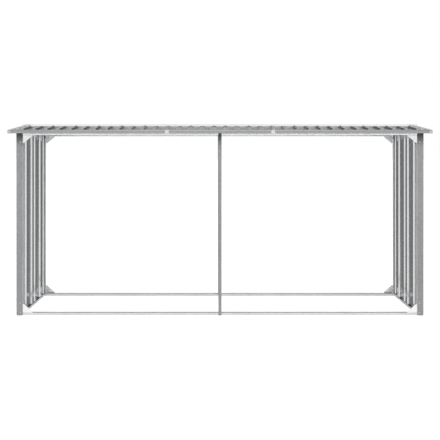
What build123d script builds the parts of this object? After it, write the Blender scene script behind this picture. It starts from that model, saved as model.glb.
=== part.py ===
"""Two-bay garden log store of folded galvanised steel: posts, rails, ribbed walls and a ribbed gable roof.

Millimetres. X runs along the store, -Y is the front, Z is up. The origin is on the ground under the middle.
Each piece is drawn for the front or the right and mirrored to the other side.
"""

import math
import os

from build123d import *

os.makedirs("parts", exist_ok=True)

# Outside size of the store, over the roof trims
overall_length = 3300.0
overall_depth = 840.0
overall_height = 1520.0

# Metal and fit
sheet = 0.8
plate = 1.5
fit_clearance = 0.2
overrun = 30.0

# Roof: rise for each unit of run, rib section and where the sheets end
pitch_share = 0.118
rib_pitch = 93.5
rib_height = 9.0
rib_crest = 20.0
rib_base = 42.0
lap_foot = 5.0
ridge_gap = 6.0
eave_setback = 15.0

# Frame: posts, rails and rafters
end_overhang = 46.0
eave_overhang = 75.0
post_width = 50.0
post_depth = 50.0
middle_post_width = 26.0
middle_post_depth = 40.0
base_rail_height = 22.0
top_rail_height = 45.0
rail_depth = 40.0
rail_inset = 2.0
rail_seam = 2.0
rafter_height = 26.0

# Corner gussets
gusset_run = 78.0
base_gusset_rise = 70.0
top_gusset_rise = 62.0
gusset_tip = 8.0
gusset_flange = 20.0

# Side walls: rib depth, width of a rib crest, length of a sloping side and rib centres
wall_rib_depth = 13.0
wall_rib_crest = 44.0
wall_rib_side = 9.0
wall_rib_centres = (44.0, 203.0)
wall_edge_flange = 42.0

# Roof trims
fascia_top = 49.0
fascia_bevel = 9.0
fascia_drop = 24.5
fascia_return = 15.0
fascia_gap = 2.0
joiner_width = 30.0
joiner_place_share = 0.125
cap_width = 25.0
cover_lip = 3.0
verge_width = 83.0
verge_drop = 24.0
verge_return = 15.0
ridge_wing = 195.0
ridge_end_wing = 45.0
ridge_side_lap = 3.0
ridge_end_drop = 26.0
closure_gap = 2.5

# Places that follow from the sizes above
slope_length_share = math.sqrt(1.0 + pitch_share**2)
slope_cos_share = 1.0 / slope_length_share
slope_sin_share = pitch_share / slope_length_share
half_length = overall_length / 2
half_depth = overall_depth / 2
post_outer = half_length - end_overhang
post_inner = post_outer - post_width
post_front = half_depth - eave_overhang
post_back = post_front - post_depth
lap = sheet + fit_clearance / 2
rib_top = rib_height + lap + sheet
ridge_under = overall_height - (rib_top + sheet) * slope_length_share
eave_end = half_depth - eave_setback
joiner_place = overall_length * joiner_place_share
verge_outer = half_length - sheet
verge_inner = verge_outer - verge_width

# Ribs fill each half of the roof up to the verge trim, and a rib near each joiner is the joint of two sheets
rib_half_count = int((verge_inner - rib_base / 2) / rib_pitch + 1 / 2)
rib_count = 2 * rib_half_count
joint_rib = rib_half_count - 1 - round(joiner_place / rib_pitch - 1 / 2)


def under(depth):
    """Height of the underside of the roof pans at a distance from the ridge."""
    return ridge_under - pitch_share * abs(depth)


def over(depth):
    """Height of the rib tops at a distance from the ridge."""
    return under(depth) + rib_top * slope_length_share


frame_top = under(post_front)

# The front slope, seen from its ridge end: X along the store, local Y square to the roof, normal down the slope
slope_plane = Plane(
    origin=(0, 0, ridge_under),
    x_dir=(1, 0, 0),
    z_dir=(0, -slope_cos_share, -slope_sin_share),
)


def folded(plane, points, thickness, side, length, both=False):
    """A folded sheet section: a line of points on a plane, thickened to one side and extruded."""
    with BuildPart() as piece:
        with BuildSketch(plane):
            with BuildLine():
                Polyline(*points)
                offset(amount=thickness, side=side, kind=Kind.INTERSECTION)
            make_face()
        extrude(amount=length, both=both)
    return piece.part


def save(builder, label):
    """Name a finished piece and write it out."""
    builder.part.label = label
    export_step(builder.part, f"parts/{label}.step")


def save_mirrored(part, label, about):
    """Write the mirror image of a finished piece under its own name."""
    with BuildPart() as twin:
        mirror(part, about=about)
    save(twin, label)
    return twin.part


def save_four(part, name):
    """Write a front right piece and its images at the other three corners; name holds two places."""
    left = save_mirrored(part, name.format("front", "left"), Plane.YZ)
    save_mirrored(part, name.format("back", "right"), Plane.XZ)
    save_mirrored(left, name.format("back", "left"), Plane.XZ)


# Corner posts: folded channels that open towards the wall
post_line = [
    (post_inner, -post_back),
    (post_inner, -post_front),
    (post_outer, -post_front),
    (post_outer, -post_back),
]
post_shape = folded(Plane.XY, post_line, plate, Side.LEFT, frame_top)
with BuildPart() as front_right_post:
    add(post_shape)
save(front_right_post, "front_right_post")
save_four(front_right_post.part, "{}_{}_post")

# Middle posts: narrower channels, open to the inside
middle_half = middle_post_width / 2
middle_line = [
    (-middle_half, -post_front + middle_post_depth),
    (-middle_half, -post_front),
    (middle_half, -post_front),
    (middle_half, -post_front + middle_post_depth),
]
middle_shape = folded(Plane.XY, middle_line, plate, Side.LEFT, frame_top)
with BuildPart() as front_middle_post:
    add(middle_shape)
save(front_middle_post, "front_middle_post")
save_mirrored(front_middle_post.part, "back_middle_post", Plane.XZ)

# Long rails: box sections with an open seam on the inside, between a corner post and the middle post
rail_front = post_front - rail_inset
rail_back = rail_front - rail_depth
rail_length = post_inner - middle_half
top_rail_foot = frame_top - top_rail_height


def box_rail(foot, height):
    """A right front rail: a folded box with a seam along the middle of its inner face."""
    middle = foot + height / 2
    with BuildPart() as piece:
        with BuildSketch(Plane.YZ.offset(middle_half)):
            with Locations((-(rail_front + rail_back) / 2, middle)):
                Rectangle(rail_depth, height)
                Rectangle(rail_depth - 2 * plate, height - 2 * plate, mode=Mode.SUBTRACT)
            with Locations((-rail_back - plate / 2, middle)):
                Rectangle(2 * plate, rail_seam, mode=Mode.SUBTRACT)
        extrude(amount=rail_length)
    return piece.part


for level, foot, height in (("base", 0.0, base_rail_height), ("top", top_rail_foot, top_rail_height)):
    rail_shape = box_rail(foot, height)
    with BuildPart() as long_rail:
        add(rail_shape)
    save(long_rail, f"front_{level}_rail_right")
    save_four(long_rail.part, "{}_" + level + "_rail_{}")

# Side base rails: channels that hold the foot of a wall and slide into the posts
slot_inner = post_inner + plate
slot_outer = post_outer - plate
side_line = [
    (slot_inner, base_rail_height),
    (slot_inner, 0.0),
    (slot_outer, 0.0),
    (slot_outer, base_rail_height),
]
side_shape = folded(Plane.XZ, side_line, plate, Side.LEFT, post_front - plate, both=True)
with BuildPart() as right_base_rail:
    add(side_shape)
save(right_base_rail, "right_base_rail")
save_mirrored(right_base_rail.part, "left_base_rail", Plane.YZ)


def rafter(start, width):
    """A gable rafter: a channel open below, bent at the ridge, with its ends inside a front and a back post."""
    reach = post_front - plate
    top_skin = plate * slope_length_share
    with BuildPart() as piece:
        with BuildSketch(Plane.YZ.offset(start)):
            Polygon(
                (-reach, under(reach)),
                (-reach, under(reach) - rafter_height),
                (0, ridge_under - rafter_height),
                (reach, under(reach) - rafter_height),
                (reach, under(reach)),
                (0, ridge_under),
                align=None,
            )
        extrude(amount=width)
        with BuildSketch(Plane.YZ.offset(start + plate)):
            Polygon(
                (-reach - overrun, under(reach + overrun) - top_skin),
                (-reach - overrun, under(reach) - rafter_height - overrun),
                (reach + overrun, under(reach) - rafter_height - overrun),
                (reach + overrun, under(reach + overrun) - top_skin),
                (0, ridge_under - top_skin),
                align=None,
            )
        extrude(amount=width - 2 * plate, mode=Mode.SUBTRACT)
    return piece.part


right_rafter_shape = rafter(slot_inner, slot_outer - slot_inner)
with BuildPart() as right_rafter:
    add(right_rafter_shape)
save(right_rafter, "right_rafter")
save_mirrored(right_rafter.part, "left_rafter", Plane.YZ)

middle_rafter_shape = rafter(-middle_half + plate, middle_post_width - 2 * plate)
with BuildPart() as middle_rafter:
    add(middle_rafter_shape)
save(middle_rafter, "middle_rafter")


def gusset(corner_height, rise, up):
    """A triangular corner plate with a flange on the post and a flange on the rail; up is 1 or -1."""
    with BuildPart() as piece:
        with BuildSketch(Plane.XZ.offset(rail_front)):
            Polygon(
                (post_inner, corner_height),
                (post_inner - gusset_run, corner_height),
                (post_inner - gusset_run, corner_height + up * gusset_tip),
                (post_inner - gusset_tip, corner_height + up * rise),
                (post_inner, corner_height + up * rise),
                align=None,
            )
        extrude(amount=-plate)
        with BuildSketch(Plane.XZ.offset(rail_front)):
            Polygon(
                (post_inner, corner_height),
                (post_inner - gusset_run, corner_height),
                (post_inner - gusset_run, corner_height + up * plate),
                (post_inner - plate, corner_height + up * plate),
                (post_inner - plate, corner_height + up * rise),
                (post_inner, corner_height + up * rise),
                align=None,
            )
        extrude(amount=-gusset_flange)
    return piece.part


for level, corner_height, rise, up in (
    ("bottom", base_rail_height, base_gusset_rise, 1),
    ("top", top_rail_foot, top_gusset_rise, -1),
):
    gusset_shape = gusset(corner_height, rise, up)
    with BuildPart() as corner_gusset:
        add(gusset_shape)
    save(corner_gusset, f"front_{level}_right_gusset")
    save_four(corner_gusset.part, "{}_" + level + "_{}_gusset")

# Side walls: ribbed sheets that stand in the base rails and end under the rafters
wall_crest = slot_inner + plate + fit_clearance
wall_pan = wall_crest + wall_rib_depth
wall_end = post_front - plate - fit_clearance
flange_end = wall_end - wall_edge_flange
wall_line = [(wall_crest, -wall_end), (wall_crest, -flange_end), (wall_pan, -flange_end + wall_rib_side)]
for centre in sorted(place * way for place in wall_rib_centres for way in (-1, 1)):
    crest_half = wall_rib_crest / 2
    wall_line += [
        (wall_pan, centre - crest_half - wall_rib_side),
        (wall_crest, centre - crest_half),
        (wall_crest, centre + crest_half),
        (wall_pan, centre + crest_half + wall_rib_side),
    ]
wall_line += [(wall_pan, flange_end - wall_rib_side), (wall_crest, flange_end), (wall_crest, wall_end)]
wall_sheet = folded(Plane.XY.offset(plate), wall_line, sheet, Side.RIGHT, overall_height)
wall_skin = plate * slope_length_share + fit_clearance
with BuildPart() as right_side_wall:
    add(wall_sheet)
    with BuildSketch(Plane.YZ.offset(post_inner)):
        Polygon(
            (-post_front, under(post_front) - wall_skin),
            (0, ridge_under - wall_skin),
            (post_front, under(post_front) - wall_skin),
            (post_front, overall_height + overrun),
            (-post_front, overall_height + overrun),
            align=None,
        )
    extrude(amount=post_width, mode=Mode.SUBTRACT)
save(right_side_wall, "right_side_wall")
save_mirrored(right_side_wall.part, "left_side_wall", Plane.YZ)

# Roof sheets: the outer sheets end on a rib, and the middle sheet laps over that rib on both sides
rib_side = (rib_base - rib_crest) / 2
rib_angle = math.atan2(rib_height, rib_side)
lap_out = lap / math.sin(rib_angle)
lap_corner = lap * math.tan(rib_angle / 2)
sheet_edge = half_length - 2 * sheet - fit_clearance
slope_run = (eave_end - ridge_gap) * slope_length_share
sheet_plane = Plane(
    origin=(0, -ridge_gap, under(ridge_gap)),
    x_dir=slope_plane.x_dir,
    z_dir=slope_plane.z_dir,
)


def rib_place(index):
    """Distance of a rib from the middle of the store."""
    return (index - (rib_count - 1) / 2) * rib_pitch


def rib_line(index):
    """The four corners of a plain roof rib."""
    middle = rib_place(index)
    return [
        (middle - rib_base / 2, 0),
        (middle - rib_crest / 2, rib_height),
        (middle + rib_crest / 2, rib_height),
        (middle + rib_base / 2, 0),
    ]


last_joint = rib_count - 1 - joint_rib
lap_start = rib_place(joint_rib)
foot_in = rib_base / 2 + lap_out - lap_foot * rib_side / rib_height
lap_line = [
    (lap_start - foot_in, lap_foot),
    (lap_start - rib_crest / 2 - lap_corner, rib_height + lap),
    (lap_start + rib_crest / 2 + lap_corner, rib_height + lap),
    (lap_start + rib_base / 2 + lap_out, 0),
]
middle_sheet_line = list(lap_line)
for index in range(joint_rib + 1, last_joint):
    middle_sheet_line += rib_line(index)
middle_sheet_line += [(-place, height) for place, height in reversed(lap_line)]

right_sheet_line = []
for index in range(last_joint, rib_count):
    right_sheet_line += rib_line(index)
right_sheet_line.append((sheet_edge, 0))

middle_sheet_shape = folded(sheet_plane, middle_sheet_line, sheet, Side.LEFT, slope_run)
with BuildPart() as front_roof_sheet_middle:
    add(middle_sheet_shape)
save(front_roof_sheet_middle, "front_roof_sheet_middle")
save_mirrored(front_roof_sheet_middle.part, "back_roof_sheet_middle", Plane.XZ)

right_sheet_shape = folded(sheet_plane, right_sheet_line, sheet, Side.LEFT, slope_run)
with BuildPart() as front_roof_sheet_right:
    add(right_sheet_shape)
save(front_roof_sheet_right, "front_roof_sheet_right")
save_four(front_roof_sheet_right.part, "{}_roof_sheet_{}")

# Verge trims: flat trims on the end pans that turn down over the edge, mitred at the ridge
verge_line = [
    (verge_inner, 2 * sheet),
    (verge_outer, 2 * sheet),
    (verge_outer, -verge_drop),
    (verge_outer - verge_return, -verge_drop),
]
verge_plane = slope_plane.offset(-overrun)
verge_run = eave_end * slope_length_share + overrun
verge_shape = folded(verge_plane, verge_line, sheet, Side.RIGHT, verge_run)
with BuildPart() as right_verge_trim:
    add(verge_shape)
    with Locations((half_length, 0, ridge_under)):
        Box(
            overall_depth,
            overall_depth,
            overall_depth,
            align=(Align.CENTER, Align.MIN, Align.CENTER),
            mode=Mode.SUBTRACT,
        )
    mirror(about=Plane.XZ)
save(right_verge_trim, "right_verge_trim")
save_mirrored(right_verge_trim.part, "left_verge_trim", Plane.YZ)

# Ridge cap: a wide angle on the rib tops, narrower over the verge trims, with a lip turned down between the ribs
last_rib = rib_place(rib_count - 1)
ridge_main = last_rib + rib_crest / 2 + ridge_side_lap
with BuildPart() as ridge_cap:
    for wing, reach in ((ridge_wing, ridge_main), (ridge_end_wing, half_length)):
        with BuildSketch(Plane.YZ):
            with BuildLine():
                Polyline((-wing, over(wing)), (0, over(0)), (wing, over(wing)))
                offset(amount=sheet, side=Side.LEFT, kind=Kind.INTERSECTION)
            make_face()
        extrude(amount=reach, both=True)
    with BuildSketch(slope_plane.offset(ridge_wing * slope_length_share - rib_top * pitch_share - sheet)):
        for index in range(rib_count - 1):
            near, far = rib_place(index), rib_place(index + 1)
            Polygon(
                (near + rib_base / 2 + closure_gap, sheet + fit_clearance),
                (far - rib_base / 2 - closure_gap, sheet + fit_clearance),
                (far - rib_crest / 2 - closure_gap, rib_top),
                (near + rib_crest / 2 + closure_gap, rib_top),
                align=None,
            )
    rib_lips = extrude(amount=sheet)
    mirror(rib_lips, about=Plane.XZ)
    with BuildSketch(slope_plane.offset(ridge_end_wing * slope_length_share - rib_top * pitch_share - sheet)):
        Polygon(
            (last_rib + rib_base / 2 + closure_gap, 2 * sheet + fit_clearance),
            (half_length, 2 * sheet + fit_clearance),
            (half_length, rib_top),
            (last_rib + rib_crest / 2 + closure_gap, rib_top),
            align=None,
        )
    end_lip = extrude(amount=sheet)
    with BuildSketch(Plane.YZ.offset(half_length)):
        Polygon(
            (-ridge_end_wing, over(ridge_end_wing)),
            (-ridge_end_wing, over(ridge_end_wing) - ridge_end_drop),
            (0, over(0) - ridge_end_drop),
            (ridge_end_wing, over(ridge_end_wing) - ridge_end_drop),
            (ridge_end_wing, over(ridge_end_wing)),
            (0, over(0)),
            align=None,
        )
    end_plate = extrude(amount=-sheet)
    mirror(end_lip, about=Plane.XZ)
    mirror(end_lip, about=Plane.YZ)
    mirror(mirror(end_lip, about=Plane.XZ, mode=Mode.PRIVATE), about=Plane.YZ)
    mirror(end_plate, about=Plane.YZ)
save(ridge_cap, "ridge_cap")

# Fascias: bevelled trims under the eave in three lengths, with joiners and corner caps over their ends
fascia_face = half_depth - 2 * sheet
bevel_start = fascia_face - fascia_bevel
fascia_skin = sheet * slope_length_share
bevel_top = under(bevel_start) - fascia_skin
fascia_front = [
    (-bevel_start, bevel_top),
    (-fascia_face, bevel_top - fascia_bevel),
    (-fascia_face, bevel_top - fascia_drop),
    (-fascia_face + fascia_return, bevel_top - fascia_drop),
]
flange_start = bevel_start - fascia_top
fascia_line = [(-flange_start, under(flange_start) - fascia_skin), *fascia_front]
cover_start = bevel_start - cover_lip
cover_line = [(-cover_start, under(cover_start) - fascia_skin), *fascia_front]
fascia_end = sheet_edge
half_gap = fascia_gap / 2
with BuildPart() as front_fascia:
    for start, end in ((0, joiner_place - half_gap), (joiner_place + half_gap, fascia_end)):
        with BuildSketch(Plane.YZ.offset(start)):
            with BuildLine():
                Polyline(*fascia_line)
                offset(amount=sheet, side=Side.RIGHT, kind=Kind.INTERSECTION)
            make_face()
        extrude(amount=end - start)
    mirror(about=Plane.YZ)
save(front_fascia, "front_fascia")
save_mirrored(front_fascia.part, "back_fascia", Plane.XZ)


def fascia_cover(start, width):
    """A short cover that fits over the outside of the fascia."""
    with BuildPart() as piece:
        with BuildSketch(Plane.YZ.offset(start)):
            with BuildLine():
                Polyline(*cover_line)
                offset(amount=2 * sheet, side=Side.RIGHT, kind=Kind.INTERSECTION)
            make_face()
            with BuildLine():
                Polyline(*cover_line)
                offset(amount=sheet, side=Side.RIGHT, kind=Kind.INTERSECTION)
            make_face(mode=Mode.SUBTRACT)
        extrude(amount=width)
    return piece.part


joiner_shape = fascia_cover(joiner_place - joiner_width / 2, joiner_width)
with BuildPart() as front_fascia_joiners:
    add(joiner_shape)
    mirror(about=Plane.YZ)
save(front_fascia_joiners, "front_fascia_joiners")
save_mirrored(front_fascia_joiners.part, "back_fascia_joiners", Plane.XZ)

cap_shape = fascia_cover(half_length - cap_width, cap_width)
with BuildPart() as roof_corner_caps:
    add(cap_shape)
    with BuildSketch(Plane.YZ.offset(half_length)):
        with BuildLine():
            Polyline(*fascia_line)
            offset(amount=sheet, side=Side.RIGHT, kind=Kind.INTERSECTION)
        make_face()
        with BuildLine():
            Polyline(*fascia_line, close=True)
        make_face()
    extrude(amount=-sheet)
    mirror(about=Plane.YZ)
    mirror(about=Plane.XZ)
save(roof_corner_caps, "roof_corner_caps")
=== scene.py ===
"""Two-bay log store of folded galvanised steel, dressed around the packed CAD frame.

Metres, in the frame's own axes: X along the store, -Y the front, Z up, the ground at zero.
Every sheet is folded from its section line with rounded bends, and every fixing sits on the sheet it holds.
"""

import math
from typing import NamedTuple

import bmesh
import bpy
from bpy.props import FloatProperty, FloatVectorProperty, IntProperty, PointerProperty
from mathutils import Matrix, Vector


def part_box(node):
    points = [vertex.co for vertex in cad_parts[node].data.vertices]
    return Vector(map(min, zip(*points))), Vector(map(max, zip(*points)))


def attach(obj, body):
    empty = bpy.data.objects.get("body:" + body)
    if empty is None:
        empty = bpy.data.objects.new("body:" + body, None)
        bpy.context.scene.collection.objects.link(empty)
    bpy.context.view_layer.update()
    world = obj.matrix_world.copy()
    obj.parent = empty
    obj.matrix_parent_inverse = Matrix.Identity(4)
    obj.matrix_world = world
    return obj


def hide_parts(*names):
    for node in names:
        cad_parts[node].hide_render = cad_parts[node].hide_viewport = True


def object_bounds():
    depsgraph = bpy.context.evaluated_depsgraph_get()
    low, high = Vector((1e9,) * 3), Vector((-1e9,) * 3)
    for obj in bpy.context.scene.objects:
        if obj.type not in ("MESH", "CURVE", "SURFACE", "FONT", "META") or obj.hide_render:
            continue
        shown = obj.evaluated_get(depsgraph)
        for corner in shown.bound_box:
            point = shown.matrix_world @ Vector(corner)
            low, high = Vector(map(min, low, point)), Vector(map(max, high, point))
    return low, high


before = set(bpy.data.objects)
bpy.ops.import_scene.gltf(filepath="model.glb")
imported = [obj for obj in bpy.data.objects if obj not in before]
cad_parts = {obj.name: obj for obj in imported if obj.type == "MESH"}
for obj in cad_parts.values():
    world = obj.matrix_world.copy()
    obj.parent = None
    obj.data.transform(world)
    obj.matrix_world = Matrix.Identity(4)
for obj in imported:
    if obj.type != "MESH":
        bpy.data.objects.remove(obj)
cad_low, cad_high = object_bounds()

bl_info = {
    "name": "Folded Steel Log Store",
    "version": (1, 0, 0),
    "blender": (4, 5, 0),
    "location": "3D View > Sidebar > Log Store",
    "description": "Builds the folded sheets, fixings, finishes and studio of a two-bay log store",
    "category": "Object",
}

BODY = "root"
WAYS = (-1, 1)
SIDES = (("left", -1), ("right", 1))
FACES = (("front", -1), ("back", 1))
CORNERS = [(*face, *side) for face in FACES for side in SIDES]

# Places read from the CAD frame
post_low, post_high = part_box("front_right_post")
rail_low, rail_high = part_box("front_top_rail_right")
side_rail_low, side_rail_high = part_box("right_base_rail")
wall_low, wall_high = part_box("right_side_wall")
rafter_low, rafter_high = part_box("right_rafter")
gusset_low, gusset_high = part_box("front_bottom_right_gusset")
top_gusset_low, top_gusset_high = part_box("front_top_right_gusset")
verge_low, verge_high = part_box("right_verge_trim")
roof_low, roof_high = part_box("front_roof_sheet_right")
middle_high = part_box("front_middle_post")[1]

HALF_LENGTH, HALF_DEPTH, TOP = cad_high
POST_INNER, POST_OUTER = post_low.x, post_high.x
POST_FRONT, POST_BACK = -post_low.y, -post_high.y
FRAME_TOP = post_high.z
RAIL_FRONT, RAIL_BACK = -rail_low.y, -rail_high.y
TOP_RAIL_FOOT = rail_low.z
BASE_RAIL_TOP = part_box("front_base_rail_right")[1].z
MIDDLE_HALF, MIDDLE_BACK = middle_high.x, -middle_high.y
FASCIA_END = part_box("front_fascia")[1].x
EAVE_END, SHEET_EDGE = -roof_low.y, roof_high.x
GUSSET_RUN, GUSSET_DEPTH = gusset_high.x - gusset_low.x, gusset_high.y - gusset_low.y
GUSSETS = (
    ("bottom", BASE_RAIL_TOP, gusset_high.z - gusset_low.z, 1),
    ("top", TOP_RAIL_FOOT, top_gusset_high.z - top_gusset_low.z, -1),
)

# Folding and shading
OVERRUN = 0.05  # length drawn past the ridge before the mitre is cut
MERGE = 1e-5  # two points nearer than this are one
CUT_REACH = 1e-7  # a point nearer than this lies on a cut
FOLD_WIDTH = 2.2  # widest flat that counts as part of a fold, in flats of a plate bend
SHARP_ANGLE = math.radians(38.0)
FACE_WEIGHT = 90
EDGE_SLOT = 1  # material slot of the sheared edges
GUSSET_ROUND, GUSSET_STEPS = 0.004, 4

# Ribs and fixings
RIB_CORNERS = 4.0
WASHER_SIDES, HEAD_SIDES = 14, 6
CROWN_HEIGHT, CROWN_TOP = 0.2, 0.72  # shares of a head's height and radius
EAVE_SCREW_SHIFT = 0.005  # from the middle of the fascia flange towards the eave
RIDGE_SCREW_INSET = 0.018
VERGE_SCREWS = (0.09, 0.23, 0.37)  # distances from the ridge
POST_SCREW_MARGIN = 0.24  # height of a post that is left free of wall screws
BOLT_SHARES = (0.34, 0.74)  # places along a gusset flange

# Directions of the roll lines: noise scale along X, Y and Z
UPRIGHT = (260.0, 260.0, 3.0)
ALONG = (3.0, 260.0, 260.0)
DOWN_SLOPE = (260.0, 3.0, 260.0)
EVEN = (90.0, 90.0, 90.0)


class Zinc(NamedTuple):
    """A zinc finish; rough holds the lowest and highest roughness, glance tints reflections at a low angle."""

    material: str
    parts: str
    light: tuple
    dark: tuple
    grain: tuple
    metallic: float
    rough: tuple
    bump: float
    glance: float = 1.0


FINISHES = {
    "post": Zinc(
        "post_zinc", "posts",
        (0.325, 0.327, 0.332), (0.235, 0.238, 0.244), UPRIGHT, 0.10, (0.42, 0.62), 0.08,
    ),
    "wall": Zinc(
        "ribbed_wall_zinc", "ribbed walls",
        (0.690, 0.695, 0.705), (0.620, 0.625, 0.635), UPRIGHT, 0.90, (0.12, 0.16), 0.01,
    ),
    "roof": Zinc(
        "ribbed_roof_zinc", "ribbed roof sheets",
        (0.412, 0.417, 0.424), (0.365, 0.370, 0.377), DOWN_SLOPE, 0.80, (0.10, 0.18), 0.02, glance=0.45,
    ),
    "trim": Zinc(
        "trim_zinc_sheet", "fascias",
        (0.390, 0.395, 0.400), (0.335, 0.340, 0.346), ALONG, 0.80, (0.22, 0.34), 0.03,
    ),
    "bright": Zinc(
        "bright_zinc_plate", "top rails, rafters and gussets",
        (0.960, 0.962, 0.968), (0.850, 0.853, 0.862), ALONG, 0.35, (0.10, 0.20), 0.02,
    ),
    "base": Zinc(
        "base_rail_zinc", "base rails",
        (0.760, 0.765, 0.772), (0.640, 0.645, 0.653), ALONG, 0.35, (0.14, 0.26), 0.02,
    ),
    "joiner": Zinc(
        "joiner_zinc", "fascia joiners",
        (0.720, 0.722, 0.728), (0.580, 0.583, 0.592), EVEN, 0.15, (0.30, 0.48), 0.08,
    ),
    "verge": Zinc(
        "verge_zinc", "verge trims and corner caps",
        (0.540, 0.545, 0.552), (0.475, 0.480, 0.487), DOWN_SLOPE, 0.6, (0.14, 0.26), 0.03,
    ),
    "ridge": Zinc(
        "ridge_zinc", "ridge cap",
        (0.920, 0.922, 0.928), (0.820, 0.823, 0.830), ALONG, 0.6, (0.05, 0.12), 0.02,
    ),
    "edge": Zinc(
        "cut_edge_steel", "sheared edges",
        (0.620, 0.620, 0.625), (0.330, 0.325, 0.320), EVEN, 0.6, (0.35, 0.6), 0.12,
    ),
    "fixing": Zinc(
        "plated_fixing", "screw and bolt heads",
        (0.640, 0.645, 0.655), (0.450, 0.455, 0.465), EVEN, 0.8, (0.28, 0.46), 0.05,
    ),
}

# Parts of a finish: noises hold a scale and a detail; tone shares weigh crystals, lines and clouds, matt shares
# weigh crystals, fine grain and burnish, relief shares weigh crystals, lines and fine grain
LINE_NOISE = (1.0, 3.0)
CLOUD_NOISE, CLOUD_ROUGHNESS = (5.0, 4.0), 0.55
FINE_NOISE = (700.0, 2.0)
SPECKLE = (0.35, 0.65, 0.3, 1.0)  # range of the clouds, and of the burnish in it
TONE_SHARES, TONE_RANGE = (0.30, 0.35, 0.55), (0.35, 0.85)
BURNISH_TONE = 0.35
MATT_SHARES, MATT_RANGE = (0.45, 0.55, -0.3), (0.1, 0.9)
RELIEF_SHARES, RELIEF_HEIGHT = (0.5, 0.5, 0.25), 0.0004
# Painted shade: the posts darken between these heights, standing in for the shadow under the eave
PAINTED_SHADE_FOOT, PAINTED_SHADE_TOP = FRAME_TOP - 0.140, FRAME_TOP - 0.006
PAINTED_SHADE_WANDER = 0.02

# Studio
WHITE = (1.0, 1.0, 1.0, 1.0)
FLOOR_SIZE, FLOOR_DROP = 120.0, 0.0005
FLOOR_ROUGHNESS, FLOOR_SPECULAR, FLOOR_GLOW = 0.9, 0.1, 0.74
FLOOR_NOISE = (2.0, 2.0)
FLOOR_EDGE = (-0.15, 0.05)  # where the light of the floor fades into the sky; parts of a unit direction up
END_POWER = 4.0
GLOW_STEPS = ((0.04, 0.07, "back"), (0.20, 0.26, "dim"), (0.55, 0.70, "high"), (0.93, 0.98, "top"))
FRONT_SPAN, FRONT_HEIGHT = (0.05, -0.25), (0.22, 0.45)
BOX_PLACE, BOX_TARGET, BOX_SIZE = (2.9, -2.2, 4.4), (1.0, -0.2, 0.9), 2.4
SENSOR, CLIP_END = 36.0, 200.0


def length(label, note, default):
    """A length that a user may change."""
    return FloatProperty(name=label, description=note, default=default, min=0.0, unit="LENGTH", precision=4)


def number(label, note, default):
    """A number that a user may change."""
    return FloatProperty(name=label, description=note, default=default)


def whole(label, note, default, **limits):
    """A whole number that a user may change."""
    return IntProperty(name=label, description=note, default=default, **limits)


def tint(label, note, default):
    """A colour that a user may change."""
    return FloatVectorProperty(
        name=label, description=note, default=default, size=3, min=0.0, max=1.0, subtype="COLOR"
    )


class LogStoreSheets(bpy.types.PropertyGroup):
    """Sizes of the folded and ribbed sheets"""

    plate: length("Frame plate", "Thickness of the posts, rails, rafters and gussets", 0.0015)
    sheet: length("Sheet", "Thickness of the walls, the roof and its trims", 0.0008)
    plate_bend: length("Plate bend", "Outside radius of a fold in the frame plate", 0.0032)
    sheet_bend: length("Sheet bend", "Radius of a fold in the sheets", 0.0026)
    bend_steps: whole("Bend steps", "Flats in each rounded fold", 4, min=1, max=12)
    pitch: number("Roof pitch", "Rise of the roof for each unit of run", 0.118)
    rib_pitch: length("Rib pitch", "Distance between two roof ribs", 0.0935)
    rib_height: length("Rib height", "Height of a roof rib over its pan", 0.009)
    rib_crest: length("Rib crest", "Width of the flat top of a roof rib", 0.020)
    rib_base: length("Rib base", "Width of the foot of a roof rib", 0.042)
    rib_half_count: whole("Ribs a side", "Roof ribs on each half", 17, min=2)
    joint_rib: whole("Joint rib", "Rib from the middle where two sheets lap", 4)
    lap_foot: length("Lap foot", "Height over the pan where the lapping edge ends", 0.005)
    ridge_gap: length("Ridge gap", "Distance of a roof sheet from the ridge line", 0.006)
    wall_rib_depth: length("Wall rib depth", "Depth of a wall rib", 0.013)
    wall_rib_crest: length("Wall rib crest", "Width of the flat crest of a wall rib", 0.044)
    wall_rib_side: length("Wall rib side", "Width of the sloping side of a wall rib", 0.009)
    wall_rib_near: length("Near wall rib", "Distance of the middle wall ribs from the centre", 0.044)
    wall_rib_far: length("Far wall rib", "Distance of the outer wall ribs from the centre", 0.203)
    wall_flange: length("Wall edge flange", "Width of the flat edge behind a post", 0.042)
    fit: length("Fit clearance", "Space between two sheets that slide together", 0.0002)


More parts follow.
